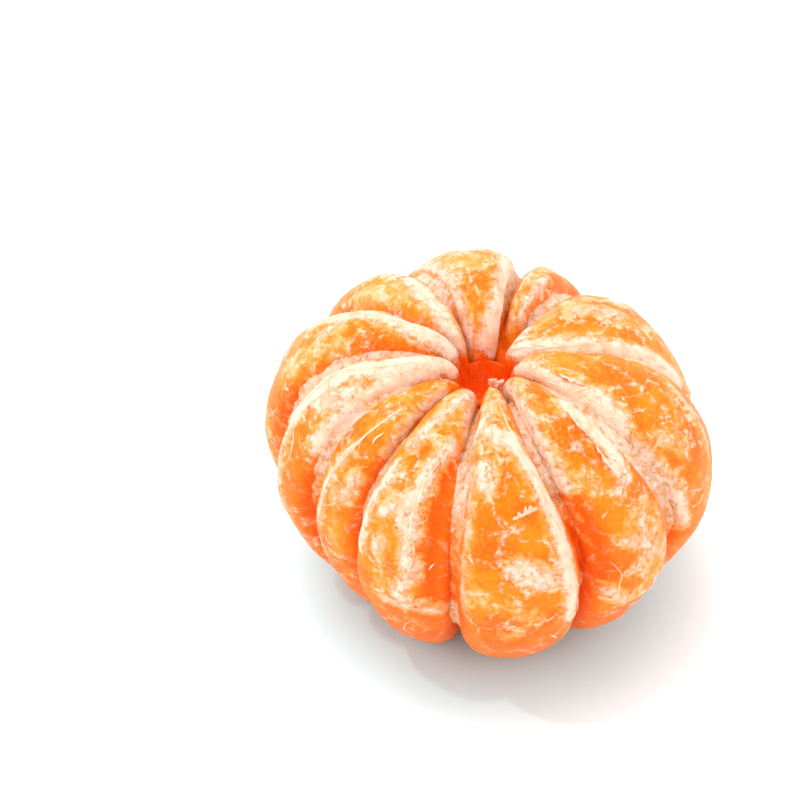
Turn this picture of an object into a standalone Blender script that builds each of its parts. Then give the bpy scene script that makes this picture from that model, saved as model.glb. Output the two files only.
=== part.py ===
"""A peeled mandarin: eleven segments around an open core, with the pith strands that cling to them.

The fruit stands upright on the small flats under its segments.  The origin is the middle of the
base, +Z runs up along the core, and the front of the fruit faces -Y.  Azimuths are in degrees,
counted from the front towards +X around the core's axis, and lengths are in metres.
"""

import math

import bmesh
import bpy
from mathutils import Vector

MM = 0.001

# Driving dimensions of the whole fruit
WAIST_HEIGHT = 20.8 * MM        # height of the widest level
CROWN_RADIUS = 12.8 * MM        # distance of the crowns from the core's axis
CROWN_LEVEL = 42.0 * MM         # height at which the walls reach their crown azimuths
CORE_RADIUS = 2.6 * MM          # radius of the open core at the waist
BASE_SINK = 1.15 * MM           # how far the rounded base is pressed flat
CORE_AXIS = (0.1 * MM, 1.1 * MM)  # place of the core's axis, so that the origin is mid-base
UPPER_FULLNESS = 2.1            # superellipse exponent from the waist up to the crown
LOWER_FULLNESS = 1.6            # the same from the waist down to the base
CORE_FULLNESS = 2.4             # the same on the side that faces the core
WALL_UNDERCUT = 0.4             # swing of the walls below the waist, as a share of that above it
LOBE_DEPTH = 0.12               # how far a segment's edge drops below its middle, as a share
LOBE_ROUNDNESS = 0.86           # share of a full half circle that the lobe's back turns through
EDGE_SHARPNESS = 7.0            # superellipse exponent where the back turns into the side walls
SEGMENT_GAP = 0.3 * MM          # clear gap between neighbouring pieces
THINNEST_EDGE = 0.7             # most of a thin inner edge that the gap may take away

# One row for each segment, counter-clockwise from above, starting at the front.
# first: azimuth of the wall towards the previous segment, at the crown and at the waist
# reach: greatest distance from the core's axis, crown: height
# inner: only for a segment that stops short of the core, its least distance from the axis
# squareness: superellipse exponent on the core side, where it isn't CORE_FULLNESS
SEGMENTS = [
    {"first": (-7, -8), "reach": 31.0 * MM, "crown": 42.0 * MM},
    {"first": (15, 29), "reach": 30.5 * MM, "crown": 42.0 * MM, "squareness": 2.8},
    {"first": (46, 60), "reach": 31.0 * MM, "crown": 41.5 * MM, "squareness": 4.0},
    {"first": (95, 97), "reach": 30.0 * MM, "crown": 39.0 * MM, "squareness": 4.8},
    {"first": (153, 147), "reach": 29.5 * MM, "crown": 39.5 * MM, "inner": 6.0 * MM},
    {"first": (168, 170), "reach": 29.0 * MM, "crown": 42.5 * MM},
    {"first": (205, 218), "reach": 30.5 * MM, "crown": 41.0 * MM, "squareness": 3.0},
    {"first": (243, 236), "reach": 31.0 * MM, "crown": 41.0 * MM, "squareness": 3.6},
    {"first": (271, 272), "reach": 28.5 * MM, "crown": 40.0 * MM, "squareness": 3.6},
    {"first": (298, 296), "reach": 26.5 * MM, "crown": 39.5 * MM, "squareness": 3.2},
    {"first": (326, 319), "reach": 28.5 * MM, "crown": 41.0 * MM},
]

# Where each strand runs on its segment: share of the half width from the middle line, and the
# turn angles, in degrees around the segment's ring section, of its lower and upper end
STRANDS = [
    {"across": -0.66, "low": -32, "high": 118},
    {"across": -0.62, "low": -28, "high": 112},
    {"across": -0.64, "low": -20, "high": 118},
    {"across": -0.66, "low": -30, "high": 124},
    {"across": 0.30, "low": -15, "high": 100},
    {"across": 0.68, "low": -35, "high": 120},
    {"across": 0.62, "low": -24, "high": 112},
    {"across": 0.66, "low": -36, "high": 122},
    {"across": 0.60, "low": -26, "high": 110},
    {"across": -0.58, "low": -30, "high": 108},
    {"across": 0.64, "low": -22, "high": 116},
]
STRAND_WIDTH = 1.7 * MM
STRAND_THICKNESS = 0.5 * MM
STRAND_TIP = 0.35               # width of a strand's ends as a share of its full width
FULL_WIDTH_RADIUS = 18.0 * MM   # strands narrow inside this distance from the core's axis
STRAND_STATIONS = 18
STRAND_SIDES = 6

# The curl of core pith that stands on the front rim of the core's mouth
CURL_AZIMUTH = 13.0
CURL_WIDTH = 2.2 * MM
CURL_THICKNESS = 0.5 * MM
CURL_BEND_RADIUS = 5.0 * MM
CURL_FOOT_RADIUS = 4.6 * MM     # distance of its foot from the core's axis
CURL_FOOT_HEIGHT = 37.6 * MM
CURL_TURN = 50.0                # degrees that it bends outward from upright
CURL_STATIONS = 9

RING_STEPS = 28                 # points around a segment's ring section
WALL_SHARE = 0.62               # size of the ring inside each side wall, as a share of the section
BACK_STATIONS = (0.985, 0.92, 0.76, 0.42)  # rings across the back, as shares of the half width

FLESH_COLOUR = (0.93, 0.36, 0.03, 1.0)
PITH_COLOUR = (0.95, 0.80, 0.66, 1.0)


def clear_scene():
    """Remove every object so that the fruit is built in an empty scene."""
    for existing in list(bpy.data.objects):
        bpy.data.objects.remove(existing, do_unlink=True)


def make_material(name, colour, roughness):
    """Return a Principled material with one colour and roughness."""
    material = bpy.data.materials.new(name)
    material.use_nodes = True
    shader = material.node_tree.nodes["Principled BSDF"]
    shader.inputs["Base Color"].default_value = colour
    shader.inputs["Roughness"].default_value = roughness
    shader.inputs["Metallic"].default_value = 0.0
    material.diffuse_color = colour
    return material


def signed_power(value, exponent):
    """Raise a number to a power and keep its sign."""
    return math.copysign(abs(value) ** exponent, value)


def section_point(turn, row):
    """Return the radius and height of a segment's middle section at a turn angle in radians.

    Zero faces outward, a quarter turn is the crown and half a turn faces the core.
    """
    outward = math.cos(turn)
    upward = math.sin(turn)
    if outward < 0:
        fullness = row.get("squareness", CORE_FULLNESS)
        reach = CROWN_RADIUS - row.get("inner", CORE_RADIUS)
    else:
        fullness = UPPER_FULLNESS if upward > 0 else LOWER_FULLNESS
        reach = row["reach"] - CROWN_RADIUS
    rise = row["crown"] - WAIST_HEIGHT if upward > 0 else WAIST_HEIGHT + BASE_SINK
    radius = CROWN_RADIUS + reach * signed_power(outward, 2 / fullness)
    height = WAIST_HEIGHT + rise * signed_power(upward, 2 / fullness)
    return radius, height


def wall_azimuth(index, height):
    """Return the azimuth in radians of the wall before segment index, at a height."""
    turns, place = divmod(index, len(SEGMENTS))
    at_crown, at_waist = SEGMENTS[place]["first"]
    lift = (height - WAIST_HEIGHT) / (CROWN_LEVEL - WAIST_HEIGHT)
    swing = (at_crown - at_waist) * lift ** 2
    if lift < 0:
        swing *= -WALL_UNDERCUT
    return math.radians(at_waist + swing + 360 * turns)


def lobe_shrink(across):
    """Return how far a segment's section shrinks towards its edges, from 1 at the middle."""
    full = 1 - math.sqrt(1 - LOBE_ROUNDNESS ** 2)
    here = 1 - math.sqrt(1 - (LOBE_ROUNDNESS * across) ** 2)
    return 1 - LOBE_DEPTH * here / full


def segment_point(index, turn, across, size):
    """Return a point of a segment's skin.

    index is the segment, turn the angle around its section, across the place between its walls
    from -1 to 1, and size the scale of the section about its middle.
    """
    row = SEGMENTS[index]
    section_radius, section_height = section_point(turn, row)
    scale = size * lobe_shrink(across)
    radius = CROWN_RADIUS + scale * (section_radius - CROWN_RADIUS)
    height = WAIST_HEIGHT + scale * (section_height - WAIST_HEIGHT)
    first = wall_azimuth(index, height)
    last = wall_azimuth(index + 1, height)
    half = (last - first) / 2
    half -= min(SEGMENT_GAP / 2 / radius, THINNEST_EDGE * half)
    azimuth = (first + last) / 2 + across * half
    along_x = CORE_AXIS[0] + radius * math.sin(azimuth)
    along_y = CORE_AXIS[1] - radius * math.cos(azimuth)
    return Vector((along_x, along_y, max(height, 0.0)))


def edge_size(across):
    """Return the size of the ring at a place across the back, rounded into the side walls."""
    return (1 - abs(across) ** EDGE_SHARPNESS) ** (1 / EDGE_SHARPNESS)


def ring_places():
    """List the rings of a segment from wall to wall as pairs of place across and size."""
    walls = [(1.0, WALL_SHARE)]
    back = [(share, edge_size(share)) for share in BACK_STATIONS]
    one_side = walls + back
    return [(-a, s) for a, s in one_side] + [(0.0, 1.0)] + one_side[::-1]


def add_object(name, mesh_builder, material):
    """Link a smooth-shaded object for a bmesh whose faces are turned outward."""
    bmesh.ops.recalc_face_normals(mesh_builder, faces=mesh_builder.faces)
    mesh = bpy.data.meshes.new(name)
    mesh_builder.to_mesh(mesh)
    mesh_builder.free()
    mesh.materials.append(material)
    mesh.shade_smooth()
    thing = bpy.data.objects.new(name, mesh)
    bpy.context.collection.objects.link(thing)
    return thing


def skin_rings(builder, rings, first_tip, last_tip):
    """Join a row of closed rings with quads and close both ends with a fan to a tip point."""
    rows = [[builder.verts.new(point) for point in ring] for ring in rings]
    count = len(rows[0])
    for near, far in zip(rows, rows[1:]):
        for step in range(count):
            after = (step + 1) % count
            builder.faces.new((near[step], near[after], far[after], far[step]))
    for row, tip in ((rows[0], first_tip), (rows[-1], last_tip)):
        tip_vertex = builder.verts.new(tip)
        for step in range(count):
            after = (step + 1) % count
            builder.faces.new((row[step], row[after], tip_vertex))


def build_segment(index, material):
    """Model one segment as rings across its width, closed in the middle of both side walls."""
    turns = [2 * math.pi * step / RING_STEPS for step in range(RING_STEPS)]
    rings = [[segment_point(index, turn, across, size) for turn in turns]
             for across, size in ring_places()]
    first_tip = segment_point(index, 0.0, -1.0, 0.0)
    last_tip = segment_point(index, 0.0, 1.0, 0.0)
    builder = bmesh.new()
    skin_rings(builder, rings, first_tip, last_tip)
    return add_object(f"segment_{index + 1:02d}", builder, material)


def skin_frame(index, turn, across):
    """Return a point on a segment's back with its outward normal and its crosswise direction."""
    step = 0.01
    here = segment_point(index, turn, across, 1.0)
    along = segment_point(index, turn + step, across, 1.0) - here
    crosswise = segment_point(index, turn, across + step, 1.0) - here
    crosswise.normalize()
    normal = crosswise.cross(along).normalized()
    return here, normal, crosswise


def build_strand(index, material):
    """Model one strand as a flat band that follows its segment's back, just clear of it."""
    row = STRANDS[index]
    rings = []
    for station in range(STRAND_STATIONS):
        share = station / (STRAND_STATIONS - 1)
        turn = math.radians(row["low"] + share * (row["high"] - row["low"]))
        here, normal, crosswise = skin_frame(index, turn, row["across"])
        taper = STRAND_TIP + (1 - STRAND_TIP) * math.sin(math.pi * share) ** 0.5
        from_axis = math.hypot(here.x - CORE_AXIS[0], here.y - CORE_AXIS[1])
        narrow = min(1.0, from_axis / FULL_WIDTH_RADIUS)
        half_width = 0.5 * STRAND_WIDTH * taper * narrow
        half_thickness = 0.5 * STRAND_THICKNESS
        middle = here + normal * (SEGMENT_GAP + half_thickness)
        ring = []
        for side in range(STRAND_SIDES):
            angle = 2 * math.pi * side / STRAND_SIDES
            sideways = crosswise * (half_width * math.cos(angle))
            ring.append(middle + sideways + normal * (half_thickness * math.sin(angle)))
        rings.append(ring)
    tips = [sum(ring, Vector()) / STRAND_SIDES for ring in (rings[0], rings[-1])]
    builder = bmesh.new()
    skin_rings(builder, rings, tips[0], tips[1])
    return add_object(f"pith_strand_{index + 1:02d}", builder, material)


def build_core_curl(material):
    """Model the curl of core pith as a band that rises from the core and bends outward."""
    azimuth = math.radians(CURL_AZIMUTH)
    outward = Vector((math.sin(azimuth), -math.cos(azimuth), 0.0))
    sideways = Vector((math.cos(azimuth), math.sin(azimuth), 0.0))
    foot = Vector((CORE_AXIS[0], CORE_AXIS[1], CURL_FOOT_HEIGHT)) + outward * CURL_FOOT_RADIUS
    rings = []
    for station in range(CURL_STATIONS):
        share = station / (CURL_STATIONS - 1)
        bend = math.radians(CURL_TURN) * share
        reach = CURL_BEND_RADIUS * (1 - math.cos(bend))
        rise = CURL_BEND_RADIUS * math.sin(bend)
        middle = foot + outward * reach + Vector((0.0, 0.0, rise))
        normal = outward * -math.cos(bend) + Vector((0.0, 0.0, math.sin(bend)))
        half_width = 0.5 * CURL_WIDTH * (0.55 + 0.45 * math.sin(math.pi * share))
        ring = []
        for side in range(STRAND_SIDES):
            angle = 2 * math.pi * side / STRAND_SIDES
            across = sideways * (half_width * math.cos(angle))
            ring.append(middle + across + normal * (0.5 * CURL_THICKNESS * math.sin(angle)))
        rings.append(ring)
    tips = [sum(ring, Vector()) / STRAND_SIDES for ring in (rings[0], rings[-1])]
    builder = bmesh.new()
    skin_rings(builder, rings, tips[0], tips[1])
    return add_object("core_pith_curl", builder, material)


def main():
    """Build the segments, their strands and the core curl."""
    clear_scene()
    flesh = make_material("segment_flesh", FLESH_COLOUR, 0.35)
    pith = make_material("pith", PITH_COLOUR, 0.8)
    for index in range(len(SEGMENTS)):
        build_segment(index, flesh)
        build_strand(index, pith)
    build_core_curl(pith)


main()
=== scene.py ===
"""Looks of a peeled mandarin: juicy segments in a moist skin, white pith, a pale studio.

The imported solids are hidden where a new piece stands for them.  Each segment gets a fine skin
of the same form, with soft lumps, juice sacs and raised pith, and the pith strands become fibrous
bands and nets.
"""

import logging
import math
from dataclasses import dataclass, field
from enum import Enum

import bpy
import numpy as np
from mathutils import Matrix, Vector


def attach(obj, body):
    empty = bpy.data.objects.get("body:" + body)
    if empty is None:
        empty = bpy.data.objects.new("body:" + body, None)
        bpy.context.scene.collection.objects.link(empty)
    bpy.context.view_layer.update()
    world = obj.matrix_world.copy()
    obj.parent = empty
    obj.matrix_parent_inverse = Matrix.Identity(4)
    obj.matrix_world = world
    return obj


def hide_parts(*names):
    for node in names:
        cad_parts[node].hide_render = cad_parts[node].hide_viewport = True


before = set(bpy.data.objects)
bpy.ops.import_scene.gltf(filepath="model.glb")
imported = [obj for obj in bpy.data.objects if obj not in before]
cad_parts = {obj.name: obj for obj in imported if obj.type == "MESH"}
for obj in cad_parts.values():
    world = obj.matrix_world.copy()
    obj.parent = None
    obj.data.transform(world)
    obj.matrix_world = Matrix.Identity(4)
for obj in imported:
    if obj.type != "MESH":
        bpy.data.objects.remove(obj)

MM = 0.001
BODY = "root"
LOG = logging.getLogger("mandarin")

Place = tuple[float, float]             # on a segment: turn in degrees, share across
Crossing = tuple[float, float, float]   # in a groove: turn in degrees, share across, whiteness
Colour = tuple[float, float, float]     # red, green and blue, linear


class Slot(Enum):
    """Material slots of the record."""

    FLESH = "segment_flesh"
    PITH = "pith"


@dataclass(frozen=True)
class SkinDetail:
    """How finely a segment's skin is divided.

    Rings run across its back, and points run round each ring, closest together over the turns
    that are in the open.
    """

    back_rings: int = 76
    edge_room: float = 0.07
    edge_steps: tuple[float, ...] = (0.74, 0.52, 0.33, 0.17, 0.06, 0.01)
    wall_sizes: tuple[float, float] = (0.2, 0.38)
    open_turns: tuple[float, float] = (-75.0, 160.0)
    open_points: int = 236
    hidden_points: int = 54


@dataclass(frozen=True)
class FruitForm:
    """Sizes that all segments share, in metres; azimuths run from the front towards +X."""

    waist_height: float = 20.8 * MM
    crown_radius: float = 12.8 * MM
    crown_level: float = 42.0 * MM
    core_radius: float = 2.6 * MM
    base_sink: float = 1.15 * MM
    axis: tuple[float, float] = (0.1 * MM, 1.1 * MM)
    upper_fullness: float = 2.1
    lower_fullness: float = 1.6
    core_fullness: float = 2.4
    wall_undercut: float = 0.4
    lobe_depth: float = 0.12
    lobe_roundness: float = 0.86
    edge_sharpness: float = 7.0
    skin_gap: float = 0.08 * MM


@dataclass(frozen=True)
class CoverForm:
    """How pith, film, lumps and painted shade lie on a skin: strengths from 0 to 1, lengths in
    metres.
    """

    veil_lump: float = 0.22
    veil_size: float = 8 * MM
    band_sway: float = 0.35
    band_ragged: float = 0.35 * MM
    pith_fade: tuple[float, float] = (1.3 * MM, -0.7 * MM)
    film_fade: tuple[float, float] = (1.8 * MM, -1.4 * MM)
    halo: float = 0.9
    halo_width: float = 2.6 * MM
    rim_pith: float = 0.6
    rim_film: float = 0.85
    low_film: float = 0.12
    low_heights: tuple[float, float] = (26 * MM, 4 * MM)
    # Deeper red painted as shade into the grooves next to the walls.
    valley_shade: float = 0.8
    # Where the core's mouth lies: less pith and film there, and a deeper red painted in as shade.
    core_radii: tuple[float, float] = (5.6 * MM, 3.6 * MM)
    core_turns: tuple[float, float] = (118.0, 146.0)
    core_peel: float = 0.85
    # Deeper red painted as shade into the dents.
    dent_shade: float = 0.9
    swell: float = 0.34 * MM
    pucker: float = 0.07 * MM
    sac: float = 0.05 * MM
    fibre: float = 0.16 * MM


FORM = FruitForm()
COVER = CoverForm()
DETAIL = SkinDetail()


class LumpyNoise:
    """Smooth random lumps in space that are the same on every run."""

    def __init__(self, seed: int) -> None:
        """Draw the lattice of slopes.

        Args:
            seed: Start of the random draws.
        """
        draws = np.random.default_rng(seed)
        self.order = np.tile(draws.permutation(256), 2)
        slopes = draws.normal(size=(256, 3))
        self.slopes = slopes / np.linalg.norm(slopes, axis=1, keepdims=True)

    def at(self, points: np.ndarray, size: float) -> np.ndarray:
        """Return the noise at points.

        Args:
            points: Places, one in each row, in metres.
            size: Width of one lump, in metres.

        Returns:
            One value for each point, about -1 to 1.
        """
        scaled = points / size
        cell = np.floor(scaled).astype(int)
        inside = scaled - cell
        ease = inside * inside * inside * (inside * (inside * 6 - 15) + 10)
        total = np.zeros(len(points))
        for corner in np.ndindex(2, 2, 2):
            x, y, z = ((cell + corner) % 256).T
            slope = self.slopes[self.order[self.order[self.order[x] + y] + z]]
            share = np.prod(np.where(np.array(corner) == 1, ease, 1 - ease), axis=1)
            total += share * np.einsum("ij,ij->i", slope, inside - corner)
        to_unit = 1.6
        return total * to_unit

    def layered(self, points: np.ndarray, size: float, layers: int) -> np.ndarray:
        """Return a sum of ever finer noise.

        Args:
            points: Places, one in each row, in metres.
            size: Width of the largest lumps, in metres.
            layers: Number of layers, each half as wide and half as strong as the last.

        Returns:
            One value for each point, about -1 to 1.
        """
        total = np.zeros(len(points))
        shift = 0.37
        for layer in range(layers):
            total += self.at(points + shift * layer, size / 2 ** layer) / 2 ** layer
        return total / (2 - 2 ** (1 - layers))


def smooth_step(value: np.ndarray, low: float, high: float) -> np.ndarray:
    """Ease a value from 0 at low to 1 at high; low may be the larger one."""
    share = np.clip((value - low) / (high - low), 0.0, 1.0)
    return share * share * (3 - 2 * share)


def signed_power(value: np.ndarray, exponent: np.ndarray | float) -> np.ndarray:
    """Raise numbers to a power and keep their signs."""
    return np.sign(value) * np.abs(value) ** exponent


@dataclass(frozen=True)
class Band:
    """A patch or line of pith, or of thin pale film, on a segment's back.

    Its path is a list of places: turn in degrees from the outward side over the crown, and the
    share of the half width, from -1 at the first wall to 1 at the last wall.
    """

    path: tuple[Place, ...]
    width: float
    strength: float = 0.9
    film: bool = False
    crest: float = 0.22


@dataclass(frozen=True)
class Dent:
    """A shallow valley along a segment's back, with a deeper red painted in as shade."""

    path: tuple[Place, ...]
    width: float
    depth: float


@dataclass
class Segment:
    """One segment of the fruit.

    Walls are azimuths in degrees at the crown and at the waist.  The spine is the run of its main
    strand of pith, and the groove tells how the tissue lies in the groove before the next segment.
    """

    number: int
    first_wall: Place
    last_wall: Place
    reach: float
    crown: float
    bands: tuple[Band, ...]
    spine: tuple[Place, ...]
    groove: tuple[Crossing, ...]
    dents: tuple[Dent, ...] = ()
    inner: float = FORM.core_radius
    squareness: float = FORM.core_fullness
    # Deeper red painted as shade on the lower parts.
    low_shade: float = 0.5
    veil: float = 0.35
    lumps: LumpyNoise = field(init=False)
    sacs: LumpyNoise = field(init=False)

    def __post_init__(self) -> None:
        """Give the segment lumps of its own."""
        self.lumps = LumpyNoise(100 + self.number)
        self.sacs = LumpyNoise(200 + self.number)

    @property
    def name(self) -> str:
        """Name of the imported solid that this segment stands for."""
        return f"segment_{self.number:02d}"

    def section(self, turn: np.ndarray) -> tuple[np.ndarray, np.ndarray]:
        """Return the radius and height of the middle section.

        Args:
            turn: Angles in radians; 0 is outward, a quarter turn the crown.

        Returns:
            Radii from the core's axis and heights, in metres.
        """
        outward, upward = np.cos(turn), np.sin(turn)
        fullness = np.where(upward > 0, FORM.upper_fullness, FORM.lower_fullness)
        fullness = np.where(outward < 0, self.squareness, fullness)
        core_side = FORM.crown_radius - self.inner
        reach = np.where(outward < 0, core_side, self.reach - FORM.crown_radius)
        fall = FORM.waist_height + FORM.base_sink
        rise = np.where(upward > 0, self.crown - FORM.waist_height, fall)
        radius = FORM.crown_radius + reach * signed_power(outward, 2 / fullness)
        return radius, FORM.waist_height + rise * signed_power(upward, 2 / fullness)

    def wall(self, wall: Place, height: np.ndarray) -> np.ndarray:
        """Return where a wall stands at given heights.

        Args:
            wall: Its azimuths in degrees at the crown and at the waist.
            height: Heights in metres.

        Returns:
            Azimuths in radians.
        """
        at_crown, at_waist = wall
        lift = (height - FORM.waist_height) / (FORM.crown_level - FORM.waist_height)
        swing = (at_crown - at_waist) * lift ** 2
        swing = np.where(lift < 0, -FORM.wall_undercut * swing, swing)
        return np.radians(at_waist + swing)

    def point(self, turn: np.ndarray, across: np.ndarray,
              size: np.ndarray | float = 1.0) -> np.ndarray:
        """Return points of the smooth skin.

        Args:
            turn: Angles around the section, in radians.
            across: Places between the walls, from -1 to 1.
            size: Scale of the section about its middle.

        Returns:
            The points, one in each row.
        """
        radius, height = self.section(turn)
        full = 1 - math.sqrt(1 - FORM.lobe_roundness ** 2)
        here = 1 - np.sqrt(1 - (FORM.lobe_roundness * across) ** 2)
        scale = size * (1 - FORM.lobe_depth * here / full)
        radius = FORM.crown_radius + scale * (radius - FORM.crown_radius)
        height = FORM.waist_height + scale * (height - FORM.waist_height)
        first = self.wall(self.first_wall, height)
        last = self.wall(self.last_wall, height)
        half = (last - first) / 2
        half = half - np.minimum(FORM.skin_gap / 2 / radius, 0.7 * half)
        azimuth = (first + last) / 2 + across * half
        x = FORM.axis[0] + radius * np.sin(azimuth)
        y = FORM.axis[1] - radius * np.cos(azimuth)
        return np.stack([x, y, np.maximum(height, 0.0)], axis=-1)

    def back_size(self, across: np.ndarray) -> np.ndarray:
        """Return the scale of the section across the back, rounded into the walls."""
        inside = np.clip(1 - np.abs(across) ** FORM.edge_sharpness, 0.0, 1.0)
        return inside ** (1 / FORM.edge_sharpness)

    def skin_frame(self, turn: np.ndarray,
                   across: np.ndarray) -> tuple[np.ndarray, np.ndarray, np.ndarray]:
        """Return points of the back with the directions there.

        Args:
            turn: Angles around the section, in radians.
            across: Places between the walls, from -1 to 1.

        Returns:
            Points, outward normals and crosswise directions, one in each row.
        """
        step = 0.01
        size = self.back_size(across)
        here = self.point(turn, across, size)
        along = self.point(turn + step, across, size) - here
        beside = self.point(turn, across + step, self.back_size(across + step)) - here
        beside /= np.maximum(np.linalg.norm(beside, axis=1, keepdims=True), 1e-9)
        normal = np.cross(beside, along)
        normal /= np.maximum(np.linalg.norm(normal, axis=1, keepdims=True), 1e-12)
        return here, normal, beside

    def metric(self, turn: float) -> tuple[float, float]:
        """Return the scale of the skin at an angle.

        Args:
            turn: Angle around the section, in radians.

        Returns:
            Metres along the skin for a radian of turn, and across it for a whole share.
        """
        step = 0.02
        turns = np.array([turn, turn + step, turn, turn])
        shares = np.array([0.0, 0.0, -0.5, 0.5])
        spots = self.point(turns, shares)
        return (float(np.linalg.norm(spots[1] - spots[0])) / step,
                float(np.linalg.norm(spots[3] - spots[2])))

    def trace(self, path: tuple[Place, ...], spacing: float = 0.4 * MM) -> np.ndarray:
        """Return closely spaced points of the skin along a path.

        Args:
            path: Two or more places on the skin.
            spacing: Distance between the points, in metres.

        Returns:
            The points, one in each row.
        """
        places = np.array(path, dtype=float)
        marks = np.arange(len(places))
        steps = 12
        fine = np.linspace(0, len(places) - 1, steps * (len(places) - 1) + 1)
        turns = np.interp(fine, marks, places[:, 0])
        shares = np.interp(fine, marks, places[:, 1])
        rough = self.point(np.radians(turns), shares)
        run = np.concatenate([[0.0], np.cumsum(np.linalg.norm(np.diff(rough, axis=0), axis=1))])
        even = np.linspace(0, run[-1], max(2, int(run[-1] / spacing)))
        return np.stack([np.interp(even, run, rough[:, k]) for k in range(3)], axis=1)

    def distance_to(self, points: np.ndarray, path: tuple[Place, ...]) -> np.ndarray:
        """Measure from points to a path on the skin.

        Args:
            points: Points near the skin, one in each row.
            path: Places along the path.

        Returns:
            Each point's distance in metres.
        """
        nearest = np.full(len(points), np.inf)
        for spot in self.trace(path):
            nearest = np.minimum(nearest, np.linalg.norm(points - spot, axis=1))
        return nearest

    def coverage(self, points: np.ndarray, turn: np.ndarray,
                 across: np.ndarray) -> dict[str, np.ndarray]:
        """Work out what covers the skin and how high it stands.

        Args:
            points: Points of the smooth skin.
            turn: Their angles around the section, in radians.
            across: Their places between the walls.

        Returns:
            Shares from 0 to 1 of pith, film and painted shade, and the relief in metres.
        """
        ragged = self.lumps.layered(points + 0.05, 1.8 * MM, 3)
        veil = self.veil + COVER.veil_lump * self.lumps.at(points + 0.31, COVER.veil_size)
        bare = np.zeros(len(points))
        cover = {"pith": bare, "film": veil, "painted_shade": bare, "relief": bare}
        self.lay_bands(cover, points, ragged)
        self.cover_edges(cover, points, np.degrees(turn), np.abs(across))
        self.press_dents(cover, points)
        self.raise_lumps(cover, points, np.abs(across), ragged)
        return cover

    def lay_bands(self, cover: dict[str, np.ndarray], points: np.ndarray,
                  ragged: np.ndarray) -> None:
        """Lay the bands of pith and film on the skin.

        Args:
            cover: What covers the skin; this changes it.
            points: Points of the smooth skin.
            ragged: Noise that frays the bands' edges.
        """
        sway = self.lumps.at(points + 0.11, 5 * MM)
        for band in self.bands:
            distance = self.distance_to(points, band.path)
            half = 0.5 * band.width * MM * (1 + COVER.band_sway * sway) + COVER.band_ragged * ragged
            outer, inner = COVER.film_fade if band.film else COVER.pith_fade
            laid = band.strength * smooth_step(distance, half + outer, half + inner)
            if band.film:
                cover["film"] = np.maximum(cover["film"], laid)
                continue
            cover["pith"] = np.maximum(cover["pith"], laid)
            halo = COVER.halo * smooth_step(distance, half + COVER.halo_width, half)
            cover["film"] = np.maximum(cover["film"], halo)
            wide = 0.9 * band.width * MM
            ridge = band.crest * MM * np.exp(-(distance / wide) ** 2)
            cover["relief"] = np.maximum(cover["relief"], ridge)

    def cover_edges(self, cover: dict[str, np.ndarray], points: np.ndarray, degrees: np.ndarray,
                    edge: np.ndarray) -> None:
        """Whiten the rims next to the walls and paint shade as a deeper red into the valleys, the
        foot and the core.

        Args:
            cover: What covers the skin; this changes it.
            points: Points of the smooth skin.
            degrees: Their angles around the section, in degrees.
            edge: How near each is to a wall, from 0 to 1.
        """
        rim = smooth_step(edge, 0.62, 0.92) * (0.7 + 0.5 * self.lumps.at(points, 6 * MM))
        rim_pith = COVER.rim_pith * rim * smooth_step(degrees, 25.0, 70.0)
        rim_film = COVER.rim_film * rim * smooth_step(degrees, -20.0, 45.0)
        low = smooth_step(points[:, 2], *COVER.low_heights)
        valley = smooth_step(edge, 0.66, 0.95) * smooth_step(degrees, 75.0, 35.0)
        radius = np.hypot(points[:, 0] - FORM.axis[0], points[:, 1] - FORM.axis[1])
        core = smooth_step(radius, *COVER.core_radii) * smooth_step(degrees, *COVER.core_turns)
        pith = np.maximum(cover["pith"], rim_pith)
        film = np.maximum(cover["film"], rim_film) + COVER.low_film * low
        cover["pith"] = pith * (1 - COVER.core_peel * core)
        cover["film"] = film * (1 - core)
        # Painted shade: a deeper red in the valleys by the walls, on the lower parts and at the
        # core's mouth.
        painted_shade = np.maximum(COVER.valley_shade * valley, self.low_shade * low)
        cover["painted_shade"] = np.maximum(painted_shade, core)

    def press_dents(self, cover: dict[str, np.ndarray], points: np.ndarray) -> None:
        """Press the shallow valleys into the back and paint shade into them as a deeper red.

        Args:
            cover: What covers the skin; this changes it.
            points: Points of the smooth skin.
        """
        for dent in self.dents:
            near = np.exp(-(self.distance_to(points, dent.path) / (0.5 * dent.width * MM)) ** 2)
            cover["relief"] = cover["relief"] - dent.depth * MM * near
            cover["painted_shade"] = np.maximum(cover["painted_shade"], COVER.dent_shade * near)

    def raise_lumps(self, cover: dict[str, np.ndarray], points: np.ndarray, edge: np.ndarray,
                    ragged: np.ndarray) -> None:
        """Add soft swellings, puckers, juice sacs and fibres to the relief.

        Args:
            cover: What covers the skin; this changes it.
            points: Points of the smooth skin.
            edge: How near each is to a wall, from 0 to 1.
            ragged: Noise that roughens the fibres.
        """
        swell = COVER.swell * self.lumps.layered(points, 9 * MM, 2)
        pucker = COVER.pucker * self.lumps.at(points + 0.2, 1.9 * MM)
        sac = COVER.sac * self.sacs.layered(points, 1.1 * MM, 2)
        pith = cover["pith"]
        fibre = COVER.fibre * pith * (1 + 0.8 * ragged)
        fade = smooth_step(edge, 0.99, 0.86)
        cover["relief"] = (cover["relief"] + swell + pucker + sac * (1 - pith) + fibre) * fade

    def surface(self, turn: np.ndarray,
                across: np.ndarray) -> tuple[np.ndarray, np.ndarray, np.ndarray]:
        """Return points of the finished skin with the directions there.

        Args:
            turn: Angles around the section, in radians.
            across: Places between the walls, from -1 to 1.

        Returns:
            Points, outward normals and crosswise directions, one in each row.
        """
        here, normal, beside = self.skin_frame(turn, across)
        relief = self.coverage(here, turn, across)["relief"]
        return here + normal * relief[:, None], normal, beside

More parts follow.
